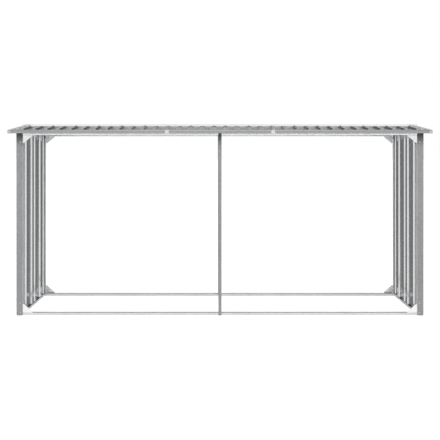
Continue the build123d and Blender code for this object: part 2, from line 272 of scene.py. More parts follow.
class LogStoreTrims(bpy.types.PropertyGroup):
    """Sizes of the roof trims and the corner gussets"""

    fascia_top: length("Fascia top", "Width of the flange under the roof pans", 0.049)
    fascia_bevel: length("Fascia bevel", "Width of the bevel over the face", 0.009)
    fascia_drop: length("Fascia drop", "Height of the fascia below its top flange", 0.0245)
    fascia_return: length("Fascia return", "Width of the bottom return", 0.015)
    fascia_gap: length("Fascia gap", "Gap between two fascia lengths under a joiner", 0.002)
    joiner_width: length("Joiner width", "Width of a fascia joiner", 0.030)
    joiner_place: length("Joiner place", "Distance of a joiner from the middle", 0.4125)
    cap_width: length("Corner cap width", "Width of a roof corner cap", 0.025)
    cover_lip: length("Cover lip", "Width of the top edge of a joiner or a corner cap", 0.003)
    verge_drop: length("Verge drop", "Drop of a verge trim below the roof pans", 0.024)
    verge_return: length("Verge return", "Width of the bottom return of a verge trim", 0.015)
    ridge_wing: length("Ridge wing", "Reach of a ridge cap wing from the ridge line", 0.195)
    ridge_end_wing: length("Ridge end wing", "Reach of the ridge cap over the verge trims", 0.045)
    ridge_side_lap: length("Ridge side lap", "Lap of the ridge cap past the crest of the last rib", 0.003)
    ridge_end_drop: length("Ridge end drop", "Height of the plates that close the ridge cap", 0.026)
    closure_gap: length("Closure gap", "Space between a rib and the lip of the ridge cap", 0.0025)
    closer_inset: length("Closer inset", "Space between a rib and the plate that closes its end", 0.001)
    closer_setback: length("Closer setback", "Distance of a closing plate from the eave end", 0.003)
    rail_seam: length("Rail seam", "Width of the open seam on the inside of a rail", 0.002)
    rafter_height: length("Rafter height", "Height of a rafter", 0.026)
    gusset_tip: length("Gusset tip", "Width of the cut tips of a gusset", 0.008)
    gusset_relief: length("Gusset relief", "Corner cut where the two flanges meet", 0.006)
    gusset_chamfer: length("Gusset chamfer", "Taper at the ends of a gusset flange", 0.005)


class LogStoreFixings(bpy.types.PropertyGroup):
    """Sizes and spacing of the screws and bolts"""

    washer_radius: length("Washer radius", "Radius of a sealing washer", 0.0065)
    washer_height: length("Washer height", "Thickness of a sealing washer", 0.0014)
    head_radius: length("Head radius", "Radius of a hexagon head over its corners", 0.0046)
    head_height: length("Head height", "Height of a hexagon head", 0.0038)
    bolt_radius: length("Bolt head radius", "Radius of a bolt head over its corners", 0.0058)
    bolt_height: length("Bolt head height", "Height of a bolt head", 0.0040)
    post_spacing: length("Post screw spacing", "Distance between the screws that hold a wall to a post", 0.300)
    post_inset: length("Post bolt inset", "Distance of the post bolts from the inner edge of a post", 0.016)
    post_end: length("Post end bolt", "Distance of the outer post bolts from the ends of a post", 0.025)
    post_next: length("Post next bolt", "Distance of the next post bolts from the ends of a post", 0.100)
    seed: whole("Turn seed", "Seed of the random turn of each head", 7)


class LogStoreFinish(bpy.types.PropertyGroup):
    """Colours of the zinc finishes"""

    spangle: length("Spangle size", "Width of a zinc crystal", 0.011)
    # Painted shade: the colour the tops of the posts darken to, standing in for the shadow under the eave
    post_painted_shade: tint("Painted eave shade", "Painted shade on the posts under the eave", (0.022, 0.023, 0.025))


for kind, zinc_kind in FINISHES.items():
    LogStoreFinish.__annotations__[f"{kind}_light"] = tint(
        f"{kind.title()} light", f"Lighter tone of the {zinc_kind.parts}", zinc_kind.light
    )
    LogStoreFinish.__annotations__[f"{kind}_dark"] = tint(
        f"{kind.title()} dark", f"Darker tone of the {zinc_kind.parts}", zinc_kind.dark
    )


class LogStoreStudio(bpy.types.PropertyGroup):
    """Floor, lights and camera"""

    floor_light: tint("Floor light", "Lighter tone of the floor", (0.930, 0.930, 0.930))
    floor_dark: tint("Floor dark", "Darker tone of the floor", (0.900, 0.900, 0.902))
    ambient: number("Ambient", "Strength of the plain sky on the object", 0.36)
    bounce: number("Bounce", "Strength of the light from the pale floor", 1.85)
    middle_share: number("Middle share", "Share of that light across the room", 0.62)
    end_share: number("End share", "Share of that light from its two ends", 5.40)
    front_glow: number("Front glow", "Strength of the front in reflections", 1.12)
    back_glow: number("Back glow", "Strength of the low back wall in reflections", 0.95)
    dim_glow: number("Dim glow", "Strength of the dark back in reflections", 0.20)
    high_glow: number("High glow", "Strength of the upper walls in reflections", 0.55)
    top_glow: number("Top glow", "Strength of the ceiling in reflections", 1.60)
    key_power: number("Key power", "Power of each soft box over an end", 58.0)
    lens: number("Lens", "Focal length in millimetres", 51.7)
    eye: FloatVectorProperty(
        name="Eye", description="Place of the camera", default=(-0.043, -5.320, 1.330), unit="LENGTH"
    )
    shift: FloatVectorProperty(
        name="Shift", description="Lens shift that frames the store", default=(0.0125, -0.1666), size=2
    )


# ---------------------------------------------------------------- places


def store():
    """The property groups of the scene: sheets, trims, fixings, finish and studio."""
    return [getattr(bpy.context.scene, name) for group, name in GROUPS]


def slope_length():
    """Length along the roof for each unit of run."""
    return math.hypot(1.0, store()[0].pitch)


def rib_top():
    """Height of a lapped rib over the underside of its pan, square to the roof."""
    sheets = store()[0]
    return sheets.rib_height + 2 * sheets.sheet + sheets.fit / 2


def ridge_under():
    """Height of the underside of the roof pans at the ridge line."""
    return TOP - (rib_top() + store()[0].sheet) * slope_length()


def under(depth):
    """Height of the underside of the roof pans at a distance from the ridge."""
    return ridge_under() - store()[0].pitch * abs(depth)


def over(depth):
    """Height of the rib tops at a distance from the ridge."""
    return under(depth) + rib_top() * slope_length()


def last_rib():
    """Distance of the last rib from the middle of the store."""
    sheets = store()[0]
    return (sheets.rib_half_count - 0.5) * sheets.rib_pitch


def slope_matrix(start, facing):
    """Frame of a roof slope: X along the store, -Y down the slope, Z square to the roof; facing is -1 or 1."""
    along = slope_length()
    cos, sin = 1.0 / along, store()[0].pitch / along
    front = Matrix(((1, 0, 0, 0), (0, cos, -sin, -start), (0, sin, cos, under(start)), (0, 0, 0, 1)))
    return front if facing < 0 else Matrix.Rotation(math.pi, 4, "Z") @ front


def across_slope(reach, facing):
    """Frame of a roof slope, moved down the slope by a reach."""
    return slope_matrix(0.0, facing) @ Matrix.Translation((0.0, -reach, 0.0))


# ---------------------------------------------------------------- node trees


def fill(tree, made, links):
    """Link or set the inputs of a node by socket name or number."""
    for key, value in links.items():
        if isinstance(value, bpy.types.NodeSocket):
            tree.links.new(value, made.inputs[key])
        else:
            made.inputs[key].default_value = value


def node(tree, kind, links=None, **settings):
    """A node with its settings and its links or values by socket name or number."""
    made = tree.nodes.new(kind)
    for key, value in settings.items():
        setattr(made, key, value)
    fill(tree, made, links or {})
    return made


def math_node(tree, operation, first, second=0.0):
    """The result of one sum on two sockets or numbers."""
    return node(tree, "ShaderNodeMath", {0: first, 1: second}, operation=operation).outputs[0]


def gathered(tree, parts):
    """Several geometries as one."""
    made = node(tree, "GeometryNodeJoinGeometry")
    for part in parts:
        tree.links.new(part, made.inputs[0])
    return made.outputs[0]


def folds(tree, given, lines):
    """Round the bends of section lines and draw them out along the run."""
    merged = node(tree, "GeometryNodeMergeByDistance", {"Geometry": lines, "Distance": MERGE}).outputs[0]
    curve = node(tree, "GeometryNodeMeshToCurve", {"Mesh": merged}).outputs[0]
    fillet = node(
        tree,
        "GeometryNodeFilletCurve",
        {"Curve": curve, "Radius": given["Bend Radius"], "Count": given["Bend Steps"], "Limit Radius": True},
        mode="POLY",
    ).outputs[0]
    section = node(tree, "GeometryNodeCurveToMesh", {"Curve": fillet}).outputs[0]
    drawn = {"Mesh": section, "Offset": given["Run"], "Offset Scale": 1.0}
    return node(tree, "GeometryNodeExtrudeMesh", drawn, mode="EDGES").outputs["Mesh"]


def folded_sheet(tree, given):
    """Folds a section line into a sheet."""
    return folds(tree, given, given["Geometry"])


def ribbed_sheet(tree, given):
    """Rolls evenly spaced ribs between two given edges of a roof sheet."""
    corners = math_node(tree, "MULTIPLY", given["Rib Count"], RIB_CORNERS)
    line = node(tree, "GeometryNodeMeshLine", {"Count": corners}, mode="OFFSET").outputs[0]
    index = node(tree, "GeometryNodeInputIndex").outputs[0]
    rib = math_node(tree, "FLOOR", math_node(tree, "DIVIDE", index, RIB_CORNERS))
    corner = math_node(tree, "MODULO", index, RIB_CORNERS)
    halves = [("Rib Base", -0.5), ("Rib Crest", -0.5), ("Rib Crest", 0.5), ("Rib Base", 0.5)]
    offsets = [math_node(tree, "MULTIPLY", given[width], half) for width, half in halves]
    heights = [0.0, given["Rib Height"], given["Rib Height"], 0.0]
    picks = []
    for values in (offsets, heights):
        pick = node(tree, "GeometryNodeIndexSwitch", data_type="FLOAT")
        while len(pick.index_switch_items) < len(values):
            pick.index_switch_items.new()
        fill(tree, pick, {"Index": corner, **dict(enumerate(values, 1))})
        picks.append(pick.outputs[0])
    middle = math_node(tree, "ADD", given["First Rib"], math_node(tree, "MULTIPLY", rib, given["Rib Pitch"]))
    across = math_node(tree, "ADD", middle, picks[0])
    place = node(tree, "ShaderNodeCombineXYZ", {"X": across, "Z": picks[1]}).outputs[0]
    ribs = node(tree, "GeometryNodeSetPosition", {"Geometry": line, "Position": place}).outputs[0]
    return folds(tree, given, gathered(tree, (given["Geometry"], ribs)))


def raised(tree, geometry, height):
    """A geometry moved up by a height."""
    lift = node(tree, "ShaderNodeCombineXYZ", {"Z": height}).outputs[0]
    return node(tree, "GeometryNodeTransform", {"Geometry": geometry, "Translation": lift}).outputs[0]


def prism(tree, sides, radius, height, foot):
    """A short prism that stands on a given height."""
    shape = {"Vertices": sides, "Radius": radius, "Depth": height}
    made = node(tree, "GeometryNodeMeshCylinder", shape, fill_type="NGON").outputs["Mesh"]
    return raised(tree, made, math_node(tree, "ADD", foot, math_node(tree, "MULTIPLY", height, 0.5)))


def hexagon_fixings(tree, given):
    """Sets a hexagon head with a chamfered top on its washer at each point, square to the point's facing."""
    radius, height = given["Head Radius"], given["Head Height"]
    washer = prism(tree, WASHER_SIDES, given["Washer Radius"], given["Washer Height"], 0.0)
    shank = math_node(tree, "MULTIPLY", height, 1 - CROWN_HEIGHT)
    head = prism(tree, HEAD_SIDES, radius, shank, given["Washer Height"])
    shape = {
        "Vertices": HEAD_SIDES,
        "Radius Top": math_node(tree, "MULTIPLY", radius, CROWN_TOP),
        "Radius Bottom": radius,
        "Depth": math_node(tree, "MULTIPLY", height, CROWN_HEIGHT),
    }
    crown = node(tree, "GeometryNodeMeshCone", shape, fill_type="NGON").outputs["Mesh"]
    crown = raised(tree, crown, math_node(tree, "ADD", given["Washer Height"], shank))
    fixing = gathered(tree, (washer, head, crown))
    facing = node(
        tree, "GeometryNodeInputNamedAttribute", {"Name": "facing"}, data_type="FLOAT_VECTOR"
    ).outputs[0]
    turn = node(tree, "FunctionNodeAlignRotationToVector", {"Vector": facing}, axis="Z").outputs[0]
    spots = {"Points": given["Geometry"], "Instance": fixing, "Rotation": turn}
    points = node(tree, "GeometryNodeInstanceOnPoints", spots).outputs[0]
    random = {"Seed": given["Turn Seed"], 2: 0.0, 3: math.tau}
    spin = node(tree, "FunctionNodeRandomValue", random, data_type="FLOAT").outputs[1]
    spin = node(tree, "ShaderNodeCombineXYZ", {"Z": spin}).outputs[0]
    return node(tree, "GeometryNodeRotateInstances", {"Instances": points, "Rotation": spin}).outputs[0]


FOLD_INPUTS = (("Bend Radius", "Float"), ("Bend Steps", "Int"), ("Run", "Vector"), ("Material", "Material"))
RIB_INPUTS = (
    ("Rib Count", "Int"),
    ("First Rib", "Float"),
    ("Rib Pitch", "Float"),
    ("Rib Crest", "Float"),
    ("Rib Base", "Float"),
    ("Rib Height", "Float"),
)
FIXING_INPUTS = (
    ("Washer Radius", "Float"),
    ("Washer Height", "Float"),
    ("Head Radius", "Float"),
    ("Head Height", "Float"),
    ("Turn Seed", "Int"),
    ("Material", "Material"),
)
TREES = {
    "Folded Sheet": (folded_sheet, FOLD_INPUTS),
    "Ribbed Roof Sheet": (ribbed_sheet, RIB_INPUTS + FOLD_INPUTS),
    "Hexagon Fixings": (hexagon_fixings, FIXING_INPUTS),
}


def geometry_tree(name):
    """One of the trees, made at its first use; it realizes its instances and sets their material."""
    if name in bpy.data.node_groups:
        return bpy.data.node_groups[name]
    shape, inputs = TREES[name]
    tree = bpy.data.node_groups.new(name, "GeometryNodeTree")
    for label, kind in (("Geometry", "Geometry"), *inputs):
        tree.interface.new_socket(name=label, in_out="INPUT", socket_type=f"NodeSocket{kind}")
    tree.interface.new_socket(name="Geometry", in_out="OUTPUT", socket_type="NodeSocketGeometry")
    given = node(tree, "NodeGroupInput").outputs
    real = node(tree, "GeometryNodeRealizeInstances", {"Geometry": shape(tree, given)}).outputs[0]
    dressed = node(tree, "GeometryNodeSetMaterial", {"Geometry": real, "Material": given["Material"]})
    node(tree, "NodeGroupOutput", {0: dressed.outputs[0]})
    return tree


def grow(piece, name, **values):
    """Run a piece through a tree; inputs go by socket identifier, and underscores stand for spaces."""
    modifier = piece.modifiers.new(name, "NODES")
    modifier.node_group = geometry_tree(name)
    wanted = {key.replace("_", " "): value for key, value in values.items()}
    for item in modifier.node_group.interface.items_tree:
        if item.item_type == "SOCKET" and item.in_out == "INPUT" and item.name in wanted:
            modifier[item.identifier] = wanted.pop(item.name)
    if wanted:
        raise RuntimeError(f"the tree {name} has no input named {sorted(wanted)}")
    bake(piece)


# ---------------------------------------------------------------- meshes


def link(name, mesh):
    """An object of a mesh in the scene."""
    made = bpy.data.objects.new(name, mesh)
    bpy.context.scene.collection.objects.link(made)
    return made


def link_work(name, work, materials):
    """An object from worked geometry, with its materials."""
    mesh = bpy.data.meshes.new(name)
    work.to_mesh(mesh)
    work.free()
    for material in materials:
        mesh.materials.append(material)
    return link(name, mesh)


def wire(name, lines):
    """An object of open lines."""
    points, edges = [], []
    for line in lines:
        first = len(points)
        points += [tuple(point) for point in line]
        edges += [(first + step, first + step + 1) for step in range(len(line) - 1)]
    mesh = bpy.data.meshes.new(name)
    mesh.from_pydata(points, edges, [])
    return link(name, mesh)


def bake(piece):
    """Turn a piece and its modifiers into a plain mesh."""
    graph = bpy.context.evaluated_depsgraph_get()
    made = bpy.data.meshes.new_from_object(
        piece.evaluated_get(graph), preserve_all_data_layers=True, depsgraph=graph
    )
    old = piece.data
    piece.modifiers.clear()
    piece.data = made
    bpy.data.meshes.remove(old)
    made.name = piece.name
    if not made.polygons:
        raise RuntimeError(f"{piece.name} came out with no faces")


def outside_first(piece, spot, inward):
    """Turn the faces so that the face nearest a spot looks away from the inward direction."""
    spot, inward = Vector(spot), Vector(inward)
    nearest = min(piece.data.polygons, key=lambda face: (face.center - spot).length)
    if nearest.normal.dot(inward) > 0:
        piece.data.flip_normals()


def cut(piece, point, outward):
    """Cut a piece with a plane and drop what lies outside."""
    work = bmesh.new()
    work.from_mesh(piece.data)
    bmesh.ops.bisect_plane(
        work,
        geom=work.verts[:] + work.edges[:] + work.faces[:],
        dist=CUT_REACH,
        plane_co=point,
        plane_no=outward,
        clear_outer=True,
    )
    work.to_mesh(piece.data)
    work.free()


def thicken(piece, thickness):
    """Give a sheet its thickness behind its outside, with sheared edges of their own finish."""
    piece.data.materials.append(zinc("edge"))
    solid = piece.modifiers.new("thickness", "SOLIDIFY")
    solid.thickness = thickness
    solid.offset = -1.0
    solid.use_even_offset = True
    solid.use_quality_normals = True
    solid.material_offset_rim = EDGE_SLOT
    bake(piece)


def smooth(piece):
    """Mark the narrow flats of the folds and shade them smoothly into the wide flats."""
    sheets = store()[0]
    widest = FOLD_WIDTH * sheets.plate_bend / sheets.bend_steps
    mesh = piece.data
    worn = mesh.attributes.get("fold_wear") or mesh.attributes.new("fold_wear", "FLOAT", "FACE")
    marks = []
    for face in mesh.polygons:
        sides = [(mesh.vertices[a].co - mesh.vertices[b].co).length for a, b in face.edge_keys]
        narrow = face.area / max(sides) < widest
        marks.append(1.0 if narrow and face.material_index != EDGE_SLOT else 0.0)
        face.use_smooth = True
    worn.data.foreach_set("value", marks)
    mesh.set_sharp_from_angle(angle=SHARP_ANGLE)
    weighted = piece.modifiers.new("normals", "WEIGHTED_NORMAL")
    weighted.keep_sharp = True
    weighted.weight = FACE_WEIGHT
    bake(piece)


def folded(name, line, run, bend, inward, kind):
    """A sheet folded along a line of points and drawn out along a run; it thickens towards inward."""
    piece = wire(name, [line])
    steps = store()[0].bend_steps
    grow(piece, "Folded Sheet", Bend_Radius=bend, Bend_Steps=steps, Run=tuple(run), Material=zinc(kind))
    outside_first(piece, (Vector(line[0]) + Vector(line[1])) / 2 + Vector(run) / 2, inward)
    return piece


def plate_piece(name, line, run, inward, kind):
    """A piece folded from frame plate, still without its thickness."""
    return folded(name, line, run, store()[0].plate_bend, inward, kind)


def sheet_piece(name, line, run, inward, kind):
    """A piece folded from sheet, still without its thickness."""
    return folded(name, line, run, store()[0].sheet_bend, inward, kind)


def on_slope(piece, way, thickness, end=None):
    """Lay a piece on a roof slope, mitre it at the ridge, cut its end upright if asked and thicken it."""
    piece.data.transform(slope_matrix(0.0, way))
    cut(piece, (0, 0, 0), (0, -way, 0))
    if end is not None:
        cut(piece, (0, way * end, 0), (0, way, 0))
    thicken(piece, thickness)
    return piece


def flat_plate(name, outline, matrix, kind):
    """A flat plate of sheet; its outline is drawn across X and up Z of a frame, and it thickens along Y."""
    work = bmesh.new()
    near, far = (
        [work.verts.new(matrix @ Vector((across, depth, up))) for across, up in outline]
        for depth in (0.0, store()[0].sheet)
    )
    work.faces.new(near)
    work.faces.new(far)
    for step in range(len(outline)):
        after = (step + 1) % len(outline)
        work.faces.new((near[step], near[after], far[after], far[step]))
    bmesh.ops.recalc_face_normals(work, faces=work.faces[:])
    return link_work(name, work, (zinc(kind), zinc("edge")))


def end_plate(name, outline, hand, kind):
    """A plate that closes an end of a trim at the end of the store; outline holds depths and heights."""
    place = Matrix(((0, -hand, 0, hand * HALF_LENGTH), (1, 0, 0, 0), (0, 0, 1, 0), (0, 0, 0, 1)))
    return flat_plate(name, outline, place, kind)


def join(name, pieces):
    """One piece from several that share their finishes."""
    work = bmesh.new()
    for piece in pieces:
        work.from_mesh(piece.data)
    made = link_work(name, work, pieces[0].data.materials)
    for piece in pieces:
        old = piece.data
        bpy.data.objects.remove(piece)
        bpy.data.meshes.remove(old)
    return made


def settle(piece, nodes):
    """Ride a finished piece on the body in place of its CAD nodes."""
    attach(piece, BODY)
    if nodes:
        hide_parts(*nodes)


def complete(piece, thickness, nodes):
    """Thicken, smooth and place a folded piece."""
    thicken(piece, thickness)
    smooth(piece)
    settle(piece, nodes)


def assemble(name, parts, nodes):
    """Join, smooth and place parts that have their thickness."""
    piece = join(name, parts)
    smooth(piece)
    settle(piece, nodes)


# ---------------------------------------------------------------- finishes


def ramp(tree, factor, dark, light):
    """A colour between two tones."""
    made = node(tree, "ShaderNodeValToRGB", {"Fac": factor})
    made.color_ramp.elements[0].color = (*dark, 1.0)
    made.color_ramp.elements[1].color = (*light, 1.0)
    return made.outputs[0]


def spread(tree, value, low, high, to_low, to_high, **settings):
    """A value moved from one range to another."""
    links = {0: value, 1: low, 2: high, 3: to_low, 4: to_high}
    return node(tree, "ShaderNodeMapRange", links, **settings).outputs[0]


def noise(tree, place, scale, detail, rough=0.5):
    """A cloudy value."""
    links = {"Vector": place, "Scale": scale, "Detail": detail, "Roughness": rough}
    return node(tree, "ShaderNodeTexNoise", links).outputs["Fac"]


def weighed(tree, sockets, shares):
    """The sum of sockets, each times its share."""
    first, *others = [math_node(tree, "MULTIPLY", *pair) for pair in zip(sockets, shares)]
    for other in others:
        first = math_node(tree, "ADD", first, other)
    return first


def painted_eave_shade(tree, colour, place, lines):
    """A colour that darkens towards the top of the frame: painted shade that stands in for the shadow under the
    eave.
    """
    height = node(tree, "ShaderNodeSeparateXYZ", {0: place}).outputs["Z"]
    wander = math_node(tree, "ADD", height, math_node(tree, "MULTIPLY", lines, PAINTED_SHADE_WANDER))
    share = spread(tree, wander, PAINTED_SHADE_FOOT, PAINTED_SHADE_TOP, 0.0, 1.0, interpolation_type="SMOOTHSTEP")
    links = {"Factor": share, 6: colour, 7: (*store()[3].post_painted_shade, 1.0)}
    return node(tree, "ShaderNodeMix", links, data_type="RGBA").outputs[2]


def zinc(kind):
    """A hot-dip zinc finish: crystals, roll lines along the grain, dulled clouds and burnished folds."""
    look = FINISHES[kind]
    if look.material in bpy.data.materials:
        return bpy.data.materials[look.material]
    finish = store()[3]
    material = bpy.data.materials.new(look.material)
    material.use_nodes = True
    tree = material.node_tree
    tree.nodes.clear()
    place = node(tree, "ShaderNodeTexCoord").outputs["Object"]
    crystals = node(tree, "ShaderNodeTexVoronoi", {"Vector": place, "Scale": 1.0 / finish.spangle})
    shade = node(tree, "ShaderNodeSeparateColor", {0: crystals.outputs["Color"]}).outputs[0]
    stretched = node(tree, "ShaderNodeMapping", {"Vector": place, "Scale": look.grain}).outputs[0]
    lines = noise(tree, stretched, *LINE_NOISE)
    clouds = noise(tree, place, *CLOUD_NOISE, CLOUD_ROUGHNESS)
    fine = noise(tree, place, *FINE_NOISE)
    worn = node(
        tree, "ShaderNodeAttribute", attribute_name="fold_wear", attribute_type="GEOMETRY"
    ).outputs["Fac"]
    burnish = math_node(tree, "MULTIPLY", worn, spread(tree, clouds, *SPECKLE))
    blend = spread(tree, weighed(tree, (shade, lines, clouds), TONE_SHARES), *TONE_RANGE, 0.0, 1.0)
    tone = math_node(tree, "ADD", blend, math_node(tree, "MULTIPLY", burnish, BURNISH_TONE))
    colour = ramp(tree, tone, getattr(finish, f"{kind}_dark"), getattr(finish, f"{kind}_light"))
    # Painted shade: the posts darken towards the top, standing in for the shadow under the eave
    if kind == "post":
        colour = painted_eave_shade(tree, colour, place, lines)
    matt = weighed(tree, (shade, fine, burnish), MATT_SHARES)
    relief = weighed(tree, (shade, lines, fine), RELIEF_SHARES)
    raised_by = {"Height": relief, "Strength": look.bump, "Distance": RELIEF_HEIGHT}
    links = {
        "Base Color": colour,
        "Metallic": look.metallic,
        "Roughness": spread(tree, matt, *MATT_RANGE, *look.rough),
        "Normal": node(tree, "ShaderNodeBump", raised_by).outputs[0],
        "Specular Tint": (look.glance, look.glance, look.glance, 1.0),
    }
    shader = node(tree, "ShaderNodeBsdfPrincipled", links).outputs[0]
    node(tree, "ShaderNodeOutputMaterial", {0: shader})
    return material


# ---------------------------------------------------------------- frame


class LOGSTORE_OT_posts(bpy.types.Operator):
    """Folds the four corner posts and the two middle posts"""

    bl_idname = "logstore.posts"
    bl_label = "Fold Posts"

    def execute(self, context):
        plans = [(side, hand * POST_INNER, hand * POST_OUTER, POST_BACK, hand) for side, hand in SIDES]
        plans.append(("middle", -MIDDLE_HALF, MIDDLE_HALF, MIDDLE_BACK, 1))
        for face, way in FACES:
            for side, near, far, back, hand in plans:
                line = [
                    (near, way * back, 0.0),
                    (near, way * POST_FRONT, 0.0),
                    (far, way * POST_FRONT, 0.0),
                    (far, way * back, 0.0),
                ]
                post = plate_piece(f"post_{face}_{side}", line, (0.0, 0.0, FRAME_TOP), (hand, 0, 0), "post")
                complete(post, store()[0].plate, [f"{face}_{side}_post"])
        return {"FINISHED"}


class LOGSTORE_OT_rails(bpy.types.Operator):
    """Folds the long rails and the side base rails"""

    bl_idname = "logstore.rails"
    bl_label = "Fold Rails"

    def execute(self, context):
        plate, seam_width = store()[0].plate, store()[1].rail_seam
        levels = (("base", 0.0, BASE_RAIL_TOP, "base"), ("top", TOP_RAIL_FOOT, FRAME_TOP, "bright"))
        for face, way, side, hand in CORNERS:
            start = hand * MIDDLE_HALF
            run = (hand * (POST_INNER - MIDDLE_HALF), 0.0, 0.0)
            for level, foot, top, kind in levels:
                seam = (foot + top - seam_width) / 2
                line = [
                    (start, way * RAIL_BACK, seam),
                    (start, way * RAIL_BACK, foot),
                    (start, way * RAIL_FRONT, foot),
                    (start, way * RAIL_FRONT, top),
                    (start, way * RAIL_BACK, top),
                    (start, way * RAIL_BACK, seam + seam_width),
                ]
                rail = plate_piece(f"rail_{face}_{level}_{side}", line, run, (0, way, 0), kind)
                complete(rail, plate, [f"{face}_{level}_rail_{side}"])
        start, top = side_rail_low.y, side_rail_high.z
        run = (0.0, side_rail_high.y - start, 0.0)
        for side, hand in SIDES:
            inner, outer = hand * side_rail_low.x, hand * side_rail_high.x
            line = [(inner, start, top), (inner, start, 0.0), (outer, start, 0.0), (outer, start, top)]
            rail = plate_piece(f"rail_side_base_{side}", line, run, (hand, 0, 0), "base")
            complete(rail, plate, [f"{side}_base_rail"])
        return {"FINISHED"}


class LOGSTORE_OT_rafters(bpy.types.Operator):
    """Folds the three gable rafters, each bent at the ridge"""

    bl_idname = "logstore.rafters"
    bl_label = "Fold Rafters"

    def execute(self, context):
        plate, reach = store()[0].plate, rafter_high.y
        drop = store()[1].rafter_height / slope_length()
        run = (0.0, -2 * OVERRUN - reach * slope_length(), 0.0)
        inner = MIDDLE_HALF - plate
        spans = [("middle", -inner, inner)]
        spans += [(side, *sorted((hand * rafter_low.x, hand * rafter_high.x))) for side, hand in SIDES]
        for name, start, end in spans:
            line = [(start, OVERRUN, -drop), (start, OVERRUN, 0.0), (end, OVERRUN, 0.0), (end, OVERRUN, -drop)]
            halves = []
            for face, way in FACES:
                half = plate_piece(f"rafter_{name}_{face}", line, run, (1, 0, 0), "bright")
                halves.append(on_slope(half, way, plate, reach))
            assemble(f"rafter_{name}", halves, [f"{name}_rafter"])
        return {"FINISHED"}


def rounded(points, radius, steps):
    """A closed outline with its corners rounded; points with no rounding hold a third value of 0."""
    made = []
    for index, (u, v, soft) in enumerate(points):
        corner = Vector((u, v))
        if not soft:
            made.append(corner)
            continue
        before = Vector(points[index - 1][:2]) - corner
        after = Vector(points[(index + 1) % len(points)][:2]) - corner
        half = before.angle(after) / 2
        reach = radius / math.tan(half)
        start, end = corner + before.normalized() * reach, corner + after.normalized() * reach
        centre = corner + (before.normalized() + after.normalized()).normalized() * (radius / math.sin(half))
        for step in range(steps + 1):
            spoke = (start - centre).lerp(end - centre, step / steps)
            made.append(centre + spoke.normalized() * radius)
    return made


def gusset_shapes(rise):
    """The web and two flanges of a gusset: outlines along the rail, along the post and inwards."""
    trims = store()[1]
    run, depth = GUSSET_RUN, GUSSET_DEPTH
    tip, relief, chamfer = trims.gusset_tip, trims.gusset_relief, trims.gusset_chamfer
    outline = [(relief, 0.0, 0), (run, 0.0, 0), (run, tip, 1), (tip, rise, 1), (0.0, rise, 0), (0.0, relief, 0)]
    web = [(p.x, p.y, 0.0) for p in rounded(outline, GUSSET_ROUND, GUSSET_STEPS)]
    on_rail = [(relief, 0, 0), (relief + chamfer, 0, depth), (run - chamfer, 0, depth), (run, 0, 0)]
    on_post = [(0, relief, 0), (0, rise, 0), (0, rise - chamfer, depth), (0, relief + chamfer, depth)]
    return web, on_rail, on_post


class LOGSTORE_OT_gussets(bpy.types.Operator):
    """Presses the eight corner gussets with their two flanges"""

    bl_idname = "logstore.gussets"
    bl_label = "Press Gussets"

    def execute(self, context):
        sheets = store()[0]
        for face, way, side, hand in CORNERS:
            for level, corner, rise, up in GUSSETS:
                work = bmesh.new()
                for shape in gusset_shapes(rise):
                    work.faces.new(
                        work.verts.new((hand * (POST_INNER - u), way * (RAIL_FRONT - w), corner + up * v))
                        for u, v, w in shape
                    )
                bmesh.ops.remove_doubles(work, verts=work.verts[:], dist=MERGE)
                bmesh.ops.recalc_face_normals(work, faces=work.faces[:])
                bmesh.ops.bevel(
                    work,
                    geom=[edge for edge in work.edges if len(edge.link_faces) == 2],
                    offset=sheets.plate_bend,
                    offset_type="OFFSET",
                    segments=sheets.bend_steps,
                    profile=0.5,
                    affect="EDGES",
                    clamp_overlap=True,
                )
                gusset = link_work(f"gusset_{face}_{level}_{side}", work, [zinc("bright")])
                middle = (hand * (POST_INNER - GUSSET_RUN / 3), way * RAIL_FRONT, corner + up * rise / 3)
                outside_first(gusset, middle, (0, -way, 0))
                complete(gusset, sheets.plate, [f"{face}_{level}_{side}_gusset"])
        return {"FINISHED"}


# ---------------------------------------------------------------- walls and roof


class LOGSTORE_OT_walls(bpy.types.Operator):
    """Rolls the two ribbed side walls and cuts their tops to the gable"""

    bl_idname = "logstore.walls"
    bl_label = "Roll Side Walls"

    def execute(self, context):
        sheets = store()[0]
        crest, pan = wall_low.x, wall_low.x + sheets.wall_rib_depth
        near, far, end = sheets.wall_rib_near, sheets.wall_rib_far, wall_high.y
        flange = end - sheets.wall_flange
        half, slant = sheets.wall_rib_crest / 2, sheets.wall_rib_side
        outline = [(crest, -end), (crest, -flange), (pan, -flange + slant)]
        for middle in (-far, -near, near, far):
            outline += [
                (pan, middle - half - slant),
                (crest, middle - half),
                (crest, middle + half),
                (pan, middle + half + slant),
            ]
        outline += [(pan, flange - slant), (crest, flange), (crest, end)]
        skin = sheets.plate * slope_length() + sheets.fit
        for side, hand in SIDES:
            line = [(hand * across, depth, wall_low.z) for across, depth in outline]
            wall = sheet_piece(f"wall_{side}", line, (0.0, 0.0, TOP), (hand, 0, 0), "wall")
            for way in WAYS:
                cut(wall, (0, 0, ridge_under() - skin), (0, way * sheets.pitch, 1))
            complete(wall, sheets.sheet, [f"{side}_side_wall"])
        return {"FINISHED"}


def lap_edge(joint):
    """The edge of a middle roof sheet that laps over the joint rib of an outer one."""
    sheets = store()[0]
    side = (sheets.rib_base - sheets.rib_crest) / 2
    angle = math.atan2(sheets.rib_height, side)
    lap = sheets.sheet + sheets.fit / 2
    lap_out, lap_corner = lap / math.sin(angle), lap * math.tan(angle / 2)
    half_base, half_crest = sheets.rib_base / 2, sheets.rib_crest / 2
    foot = half_base + lap_out - sheets.lap_foot * side / sheets.rib_height
    return [
        (joint + foot, sheets.lap_foot),
        (joint + half_crest + lap_corner, sheets.rib_height + lap),
        (joint - half_crest - lap_corner, sheets.rib_height + lap),
        (joint - half_base - lap_out, 0.0),
        (joint - sheets.rib_pitch + half_base, 0.0),
    ]


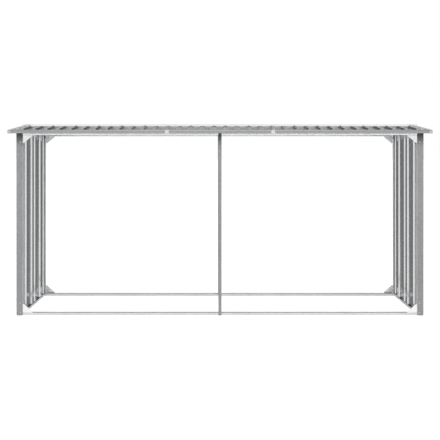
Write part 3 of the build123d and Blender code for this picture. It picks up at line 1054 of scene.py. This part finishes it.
class LOGSTORE_OT_roof(bpy.types.Operator):
    """Rolls the six ribbed roof sheets; the middle sheets lap over the ribs of the outer ones"""

    bl_idname = "logstore.roof"
    bl_label = "Roll Roof Sheets"

    def execute(self, context):
        sheets = store()[0]
        joint, last = (sheets.joint_rib + 0.5) * sheets.rib_pitch, last_rib()
        laps = [(hand, lap_edge(joint)) for hand in WAYS]
        outer = [(last + sheets.rib_base / 2, 0.0), (SHEET_EDGE, 0.0)]
        outer_count = sheets.rib_half_count - sheets.joint_rib
        plans = (
            ("middle", "middle", laps, sheets.rib_pitch - joint, 2 * sheets.joint_rib),
            ("right", "left", [(1, outer)], joint, outer_count),
            ("left", "right", [(-1, outer)], -last, outer_count),
        )
        run = (EAVE_END - sheets.ridge_gap) * slope_length()
        for face, way in FACES:
            for name, turned, edges, first, count in plans:
                label = name if way < 0 else turned
                lines = [[(hand * across, 0.0, up) for across, up in edge] for hand, edge in edges]
                piece = wire(f"roof_{face}_{label}", lines)
                grow(
                    piece,
                    "Ribbed Roof Sheet",
                    Rib_Count=count,
                    First_Rib=first,
                    Rib_Pitch=sheets.rib_pitch,
                    Rib_Crest=sheets.rib_crest,
                    Rib_Base=sheets.rib_base,
                    Rib_Height=sheets.rib_height,
                    Bend_Radius=sheets.sheet_bend,
                    Bend_Steps=sheets.bend_steps,
                    Run=(0.0, -run, 0.0),
                    Material=zinc("roof"),
                )
                outside_first(piece, (first + sheets.rib_pitch / 2, -run / 2, 0.0), (0, 0, 1))
                piece.data.transform(slope_matrix(sheets.ridge_gap, way))
                complete(piece, sheets.sheet, [f"{face}_roof_sheet_{label}"])
        return {"FINISHED"}


class LOGSTORE_OT_verges(bpy.types.Operator):
    """Folds the two verge trims, mitred at the ridge"""

    bl_idname = "logstore.verges"
    bl_label = "Fold Verge Trims"

    def execute(self, context):
        sheets, trims = store()[:2]
        inner, outer, top = verge_low.x, verge_high.x, 2 * sheets.sheet
        run = (0.0, -OVERRUN - EAVE_END * slope_length(), 0.0)
        for side, hand in SIDES:
            halves = []
            for face, way in FACES:
                flip = hand * (-way)
                line = [
                    (flip * inner, OVERRUN, top),
                    (flip * outer, OVERRUN, top),
                    (flip * outer, OVERRUN, -trims.verge_drop),
                    (flip * (outer - trims.verge_return), OVERRUN, -trims.verge_drop),
                ]
                half = sheet_piece(f"verge_{side}_{face}", line, run, (0, 0, -1), "verge")
                halves.append(on_slope(half, way, sheets.sheet))
            assemble(f"verge_{side}", halves, [f"{side}_verge_trim"])
        return {"FINISHED"}


class LOGSTORE_OT_closers(bpy.types.Operator):
    """Closes the ends of the roof ribs at both eaves"""

    bl_idname = "logstore.closers"
    bl_label = "Close Rib Ends"

    def execute(self, context):
        sheets, trims = store()[:2]
        foot, crest = sheets.rib_base / 2 - trims.closer_inset, sheets.rib_crest / 2 - trims.closer_inset
        low, high = sheets.fit, sheets.rib_height - sheets.fit
        reach = EAVE_END * slope_length() - trims.closer_setback
        parts = []
        for face, way in FACES:
            for rib in range(2 * sheets.rib_half_count):
                middle = (rib - sheets.rib_half_count + 0.5) * sheets.rib_pitch
                outline = [
                    (middle - foot, low),
                    (middle + foot, low),
                    (middle + crest, high),
                    (middle - crest, high),
                ]
                parts.append(flat_plate(f"closer_{face}_{rib}", outline, across_slope(reach, way), "roof"))
        settle(join("rib_closers", parts), [])
        return {"FINISHED"}


def ridge_lips(way):
    """The lips of the ridge cap on one slope, between the ribs and over the verge trims."""
    sheets, trims = store()[:2]
    last, top = last_rib(), rib_top()
    base, crest = sheets.rib_base / 2 + trims.closure_gap, sheets.rib_crest / 2 + trims.closure_gap
    pan = sheets.sheet + sheets.fit
    place, end_place = (
        across_slope(wing * slope_length() - top * sheets.pitch, way)
        for wing in (trims.ridge_wing, trims.ridge_end_wing)
    )
    lips = []
    for rib in range(2 * sheets.rib_half_count - 1):
        near = -last + rib * sheets.rib_pitch
        far = near + sheets.rib_pitch
        outline = [(near + base, pan), (far - base, pan), (far - crest, top), (near + crest, top)]
        lips.append(flat_plate(f"lip_{rib}", outline, place, "ridge"))
    trim = 2 * sheets.sheet + sheets.fit
    for side, hand in SIDES:
        outline = [
            (hand * (last + base), trim),
            (hand * HALF_LENGTH, trim),
            (hand * HALF_LENGTH, top),
            (hand * (last + crest), top),
        ]
        lips.append(flat_plate(f"end_lip_{side}", outline, end_place, "ridge"))
    return lips


class LOGSTORE_OT_ridge(bpy.types.Operator):
    """Folds the ridge cap, its lips between the ribs and its closed ends"""

    bl_idname = "logstore.ridge"
    bl_label = "Fold Ridge Cap"

    def execute(self, context):
        sheets, trims = store()[:2]
        lift = sheets.sheet * slope_length()
        main = last_rib() + sheets.rib_crest / 2 + trims.ridge_side_lap
        spans = (
            ("main", trims.ridge_wing, -main, main),
            ("left", trims.ridge_end_wing, -HALF_LENGTH, -main),
            ("right", trims.ridge_end_wing, main, HALF_LENGTH),
        )
        parts = []
        for name, wing, start, end in spans:
            line = [(start, -wing, over(wing) + lift), (start, 0.0, TOP), (start, wing, over(wing) + lift)]
            cap = sheet_piece(f"ridge_{name}", line, (end - start, 0.0, 0.0), (0, 0, -1), "ridge")
            thicken(cap, sheets.sheet)
            parts.append(cap)
        for way in WAYS:
            parts += ridge_lips(way)
        wing, drop = trims.ridge_end_wing, trims.ridge_end_drop
        outline = [
            (-wing, over(wing)),
            (-wing, over(wing) - drop),
            (0.0, over(0.0) - drop),
            (wing, over(wing) - drop),
            (wing, over(wing)),
            (0.0, over(0.0)),
        ]
        parts += [end_plate(f"ridge_end_{side}", outline, hand, "ridge") for side, hand in SIDES]
        assemble("ridge", parts, ["ridge_cap"])
        return {"FINISHED"}


def fascia_line(start, way, top, grown):
    """Line of the fascia section from a top edge of a width, moved out from the inside by whole sheets."""
    sheets, trims = store()[:2]
    face = HALF_DEPTH - 2 * sheets.sheet
    bevel = face - trims.fascia_bevel
    skin = sheets.sheet * slope_length()
    high = under(bevel) - skin
    inside = [
        Vector((bevel - top, under(bevel - top) - skin)),
        Vector((bevel, high)),
        Vector((face, high - trims.fascia_bevel)),
        Vector((face, high - trims.fascia_drop)),
        Vector((face - trims.fascia_return, high - trims.fascia_drop)),
    ]
    normals = []
    for first, second in zip(inside, inside[1:]):
        along = (second - first).normalized()
        normals.append(Vector((-along.y, along.x)))
    moved = []
    for index, point in enumerate(inside):
        before = normals[max(index - 1, 0)]
        after = normals[min(index, len(normals) - 1)]
        middle = (before + after).normalized()
        moved.append(point + middle * (grown * sheets.sheet / middle.dot(after)))
    return [(start, way * point.x, point.y) for point in moved]


def fascia_part(name, start, width, way, top, grown, kind):
    """A length of the fascia section with its thickness."""
    line = fascia_line(start, way, top, grown)
    piece = sheet_piece(name, line, (width, 0.0, 0.0), (0, 0, -1), kind)
    thicken(piece, store()[0].sheet)
    return piece


class LOGSTORE_OT_fascias(bpy.types.Operator):
    """Folds the front and back fascias in three lengths, with their joiners"""

    bl_idname = "logstore.fascias"
    bl_label = "Fold Fascias"

    def execute(self, context):
        trims = store()[1]
        gap, place, width = trims.fascia_gap / 2, trims.joiner_place, trims.joiner_width
        spans = ((-FASCIA_END, -place - gap), (gap - place, place - gap), (place + gap, FASCIA_END))
        for face, way in FACES:
            lengths = [
                fascia_part(f"fascia_{face}_{index}", start, stop - start, way, trims.fascia_top, 1, "trim")
                for index, (start, stop) in enumerate(spans)
            ]
            assemble(f"fascia_{face}", lengths, [f"{face}_fascia"])
            joiners = [
                fascia_part(
                    f"joiner_{face}_{side}", hand * place - width / 2, width, way, trims.cover_lip, 2, "joiner"
                )
                for side, hand in SIDES
            ]
            assemble(f"fascia_joiners_{face}", joiners, [f"{face}_fascia_joiners"])
        return {"FINISHED"}


class LOGSTORE_OT_caps(bpy.types.Operator):
    """Folds the four roof corner caps with their end plates"""

    bl_idname = "logstore.caps"
    bl_label = "Fold Corner Caps"

    def execute(self, context):
        trims = store()[1]
        width = trims.cap_width
        parts = []
        for face, way, side, hand in CORNERS:
            start = HALF_LENGTH - width if hand > 0 else -HALF_LENGTH
            parts.append(fascia_part(f"cap_{face}_{side}", start, width, way, trims.cover_lip, 2, "verge"))
            outline = [point[1:] for point in fascia_line(0.0, way, trims.fascia_top, 1)]
            parts.append(end_plate(f"cap_end_{face}_{side}", outline, hand, "verge"))
        assemble("corner_caps", parts, ["roof_corner_caps"])
        return {"FINISHED"}


# ---------------------------------------------------------------- fixings


def fixings(name, places, head_radius, head_height):
    """Hexagon heads on washers at places that each hold a point and a facing."""
    sizes = store()[2]
    mesh = bpy.data.meshes.new(name)
    mesh.from_pydata([point for point, facing in places], [], [])
    facings = mesh.attributes.new("facing", "FLOAT_VECTOR", "POINT")
    facings.data.foreach_set("vector", [value for point, facing in places for value in facing])
    piece = link(name, mesh)
    grow(
        piece,
        "Hexagon Fixings",
        Washer_Radius=sizes.washer_radius,
        Washer_Height=sizes.washer_height,
        Head_Radius=head_radius,
        Head_Height=head_height,
        Turn_Seed=sizes.seed,
        Material=zinc("fixing"),
    )
    settle(piece, [])


class LOGSTORE_OT_roof_screws(bpy.types.Operator):
    """Sets the screws of the ridge cap wings, the eave pans on the fascia flanges and the verge trims"""

    bl_idname = "logstore.roof_screws"
    bl_label = "Set Roof Screws"

    def execute(self, context):
        sheets, trims, sizes = store()[:3]
        along = slope_length()
        lift = sheets.sheet * along
        eave = EAVE_END - trims.fascia_top / 2 + EAVE_SCREW_SHIFT
        wing = trims.ridge_wing - RIDGE_SCREW_INSET
        places = []
        for way in WAYS:
            square = (0.0, way * sheets.pitch / along, 1.0 / along)
            for rib in range(0, sheets.rib_half_count, 2):
                for hand in WAYS:
                    crest = hand * (rib + 0.5) * sheets.rib_pitch
                    places.append(((crest, way * wing, over(wing) + lift), square))
                    if rib + 1 < sheets.rib_half_count:
                        pan = crest + hand * sheets.rib_pitch / 2
                        places.append(((pan, way * eave, under(eave) + lift), square))
            for hand in WAYS:
                edge = hand * (verge_low.x + verge_high.x) / 2
                for depth in VERGE_SCREWS:
                    places.append(((edge, way * depth, under(depth) + 2 * lift), square))
        fixings("roof_screws", places, sizes.head_radius, sizes.head_height)
        return {"FINISHED"}


class LOGSTORE_OT_wall_screws(bpy.types.Operator):
    """Sets the screws that hold each wall to its base rail, its rafter and its two posts"""

    bl_idname = "logstore.wall_screws"
    bl_label = "Set Wall Screws"

    def execute(self, context):
        sheets, trims, sizes = store()[:3]
        crests = [way * depth for depth in (sheets.wall_rib_near, sheets.wall_rib_far) for way in WAYS]
        middle = (POST_FRONT + POST_BACK) / 2
        count = int((FRAME_TOP - POST_SCREW_MARGIN) / sizes.post_spacing) + 1
        start = (FRAME_TOP - (count - 1) * sizes.post_spacing) / 2
        places = []
        for hand in WAYS:
            inward = (-hand, 0.0, 0.0)
            for depth in crests:
                places.append(((hand * side_rail_low.x, depth, side_rail_high.z / 2), inward))
                height = under(depth) - trims.rafter_height / 2
                places.append(((hand * rafter_low.x, depth, height), inward))
            for way in WAYS:
                for step in range(count):
                    height = start + step * sizes.post_spacing
                    places.append(((hand * POST_INNER, way * middle, height), inward))
        fixings("wall_screws", places, sizes.head_radius, sizes.head_height)
        return {"FINISHED"}


class LOGSTORE_OT_gusset_bolts(bpy.types.Operator):
    """Sets the bolts that hold the gusset flanges to the posts and the rails"""

    bl_idname = "logstore.gusset_bolts"
    bl_label = "Set Gusset Bolts"

    def execute(self, context):
        plate, sizes = store()[0].plate, store()[2]
        depth = RAIL_FRONT - GUSSET_DEPTH / 2 - plate / 2
        places = []
        for face, way, side, hand in CORNERS:
            for level, corner, rise, up in GUSSETS:
                for share in BOLT_SHARES:
                    on_rail = (hand * (POST_INNER - share * GUSSET_RUN), way * depth, corner + up * plate)
                    on_post = (hand * (POST_INNER - plate), way * depth, corner + up * share * rise)
                    places += [(on_rail, (0.0, 0.0, up)), (on_post, (-hand, 0.0, 0.0))]
        fixings("gusset_bolts", places, sizes.bolt_radius, sizes.bolt_height)
        return {"FINISHED"}


class LOGSTORE_OT_post_bolts(bpy.types.Operator):
    """Sets the bolts near both ends of the corner posts, on the faces that look out"""

    bl_idname = "logstore.post_bolts"
    bl_label = "Set Post Bolts"

    def execute(self, context):
        sizes = store()[2]
        heights = [height for end in (sizes.post_end, sizes.post_next) for height in (end, FRAME_TOP - end)]
        places = [
            ((hand * (POST_INNER + sizes.post_inset), way * POST_FRONT, height), (0.0, way, 0.0))
            for face, way, side, hand in CORNERS
            for height in heights
        ]
        fixings("post_bolts", places, sizes.bolt_radius, sizes.bolt_height)
        return {"FINISHED"}


# ---------------------------------------------------------------- stage


def lay_floor():
    """A pale floor that lights nothing and shows in no reflection."""
    studio = store()[4]
    bpy.ops.mesh.primitive_plane_add(size=FLOOR_SIZE, location=(0.0, 0.0, -FLOOR_DROP))
    floor = bpy.context.object
    floor.name = "studio_floor"
    material = bpy.data.materials.new("studio_floor")
    material.use_nodes = True
    tree = material.node_tree
    place = node(tree, "ShaderNodeTexCoord").outputs["Object"]
    links = {
        "Base Color": ramp(tree, noise(tree, place, *FLOOR_NOISE), studio.floor_dark, studio.floor_light),
        "Roughness": FLOOR_ROUGHNESS,
        "Specular IOR Level": FLOOR_SPECULAR,
        "Emission Color": WHITE,
        "Emission Strength": FLOOR_GLOW,
    }
    fill(tree, tree.nodes["Principled BSDF"], links)
    floor.data.materials.append(material)
    floor.visible_diffuse = False
    floor.visible_glossy = False


def room_way(tree):
    """X, Y and Z of a direction into the room."""
    way = node(tree, "ShaderNodeTexCoord").outputs["Generated"]
    return node(tree, "ShaderNodeSeparateXYZ", {0: way}).outputs


def room_light(tree):
    """Strength of the studio as light: a plain sky over a pale floor, brighter at both ends of the room."""
    studio, way = store()[4], room_way(tree)
    level = spread(tree, way["Z"], *FLOOR_EDGE, studio.bounce, studio.ambient)
    ends = math_node(tree, "POWER", math_node(tree, "ABSOLUTE", way["X"]), END_POWER)
    share = spread(tree, ends, 0.0, 1.0, studio.middle_share, studio.end_share)
    return math_node(tree, "MULTIPLY", level, share)


def room_glow(tree):
    """Strength of the studio in reflections: a bright front, a bright ceiling and a low bright wall behind."""
    studio, way = store()[4], room_way(tree)
    glow = studio.dim_glow
    for low, high, name in GLOW_STEPS:
        share, goal = spread(tree, way["Z"], low, high, 0.0, 1.0), getattr(studio, f"{name}_glow")
        glow = node(tree, "ShaderNodeMix", {"Factor": share, "A": glow, "B": goal}).outputs[0]
    front = spread(tree, way["Y"], *FRONT_SPAN, 0.0, 1.0)
    front = math_node(tree, "MULTIPLY", front, spread(tree, way["Z"], *FRONT_HEIGHT, 1.0, 0.0))
    return node(tree, "ShaderNodeMix", {"Factor": front, "A": glow, "B": studio.front_glow}).outputs[0]


def light_room(scene):
    """A white studio that is one strength to the camera, one as light and one in reflections."""
    world = bpy.data.worlds.new("white_studio")
    scene.world = world
    world.use_nodes = True
    tree = world.node_tree
    tree.nodes.clear()
    seen, lit, mirrored = (
        node(tree, "ShaderNodeBackground", {"Color": WHITE, "Strength": strength}).outputs[0]
        for strength in (1.0, room_light(tree), room_glow(tree))
    )
    paths = node(tree, "ShaderNodeLightPath").outputs
    mixed = node(tree, "ShaderNodeMixShader", {0: paths["Is Glossy Ray"], 1: lit, 2: mirrored}).outputs[0]
    mixed = node(tree, "ShaderNodeMixShader", {0: paths["Is Camera Ray"], 1: mixed, 2: seen}).outputs[0]
    node(tree, "ShaderNodeOutputWorld", {0: mixed})


def soft_box(name, hand):
    """A square soft box over one end of the store that leaves no glare on the zinc."""
    place, target = (Vector((hand * x, y, z)) for x, y, z in (BOX_PLACE, BOX_TARGET))
    lamp = bpy.data.lights.new(name, "AREA")
    lamp.shape = "RECTANGLE"
    lamp.size = lamp.size_y = BOX_SIZE
    lamp.energy = store()[4].key_power
    made = link(name, lamp)
    made.visible_glossy = False
    made.location = place
    made.rotation_euler = (target - place).to_track_quat("-Z", "Y").to_euler()


def set_camera(scene):
    """A level camera in front of the store, shifted to frame it."""
    studio = store()[4]
    lens = bpy.data.cameras.new("front_camera")
    lens.lens = studio.lens
    lens.sensor_width = SENSOR
    lens.shift_x, lens.shift_y = studio.shift
    lens.clip_end = CLIP_END
    camera = link("front_camera", lens)
    camera.location = studio.eye
    camera.rotation_euler = (math.pi / 2, 0.0, 0.0)
    scene.camera = camera
    scene.view_settings.view_transform = "Standard"


class LOGSTORE_OT_stage(bpy.types.Operator):
    """Lays the pale floor and sets the lights and the camera"""

    bl_idname = "logstore.stage"
    bl_label = "Set Stage"

    def execute(self, context):
        lay_floor()
        light_room(context.scene)
        for side, hand in SIDES:
            soft_box(f"soft_box_{side}", hand)
        set_camera(context.scene)
        return {"FINISHED"}


# ---------------------------------------------------------------- panel and registration

GROUPS = (
    (LogStoreSheets, "log_store_sheets"),
    (LogStoreTrims, "log_store_trims"),
    (LogStoreFixings, "log_store_fixings"),
    (LogStoreFinish, "log_store_finish"),
    (LogStoreStudio, "log_store_studio"),
)
OPERATORS = (
    LOGSTORE_OT_posts,
    LOGSTORE_OT_rails,
    LOGSTORE_OT_rafters,
    LOGSTORE_OT_gussets,
    LOGSTORE_OT_walls,
    LOGSTORE_OT_roof,
    LOGSTORE_OT_verges,
    LOGSTORE_OT_closers,
    LOGSTORE_OT_ridge,
    LOGSTORE_OT_fascias,
    LOGSTORE_OT_caps,
    LOGSTORE_OT_roof_screws,
    LOGSTORE_OT_wall_screws,
    LOGSTORE_OT_gusset_bolts,
    LOGSTORE_OT_post_bolts,
    LOGSTORE_OT_stage,
)


class LOGSTORE_PT_panel(bpy.types.Panel):
    """Sizes, colours and steps of the log store"""

    bl_idname = "LOGSTORE_PT_panel"
    bl_label = "Log Store"
    bl_space_type = "VIEW_3D"
    bl_region_type = "UI"
    bl_category = "Log Store"

    def draw(self, context):
        for operator in OPERATORS:
            self.layout.operator(operator.bl_idname)
        for group, name in GROUPS:
            box = self.layout.box()
            box.label(text=group.__doc__)
            values = getattr(context.scene, name)
            for key in group.__annotations__:
                box.prop(values, key)


def register():
    """Register the groups, the operators and the panel."""
    for group, name in GROUPS:
        bpy.utils.register_class(group)
        setattr(bpy.types.Scene, name, PointerProperty(type=group))
    for part in (*OPERATORS, LOGSTORE_PT_panel):
        bpy.utils.register_class(part)


def unregister():
    """Undo register."""
    for part in (LOGSTORE_PT_panel, *reversed(OPERATORS)):
        bpy.utils.unregister_class(part)
    for group, name in reversed(GROUPS):
        delattr(bpy.types.Scene, name)
        bpy.utils.unregister_class(group)


def main():
    """Build the store step by step."""
    register()
    for operator in OPERATORS:
        group, name = operator.bl_idname.split(".")
        getattr(getattr(bpy.ops, group), name)()
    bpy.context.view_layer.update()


if __name__ == "__main__":
    main()
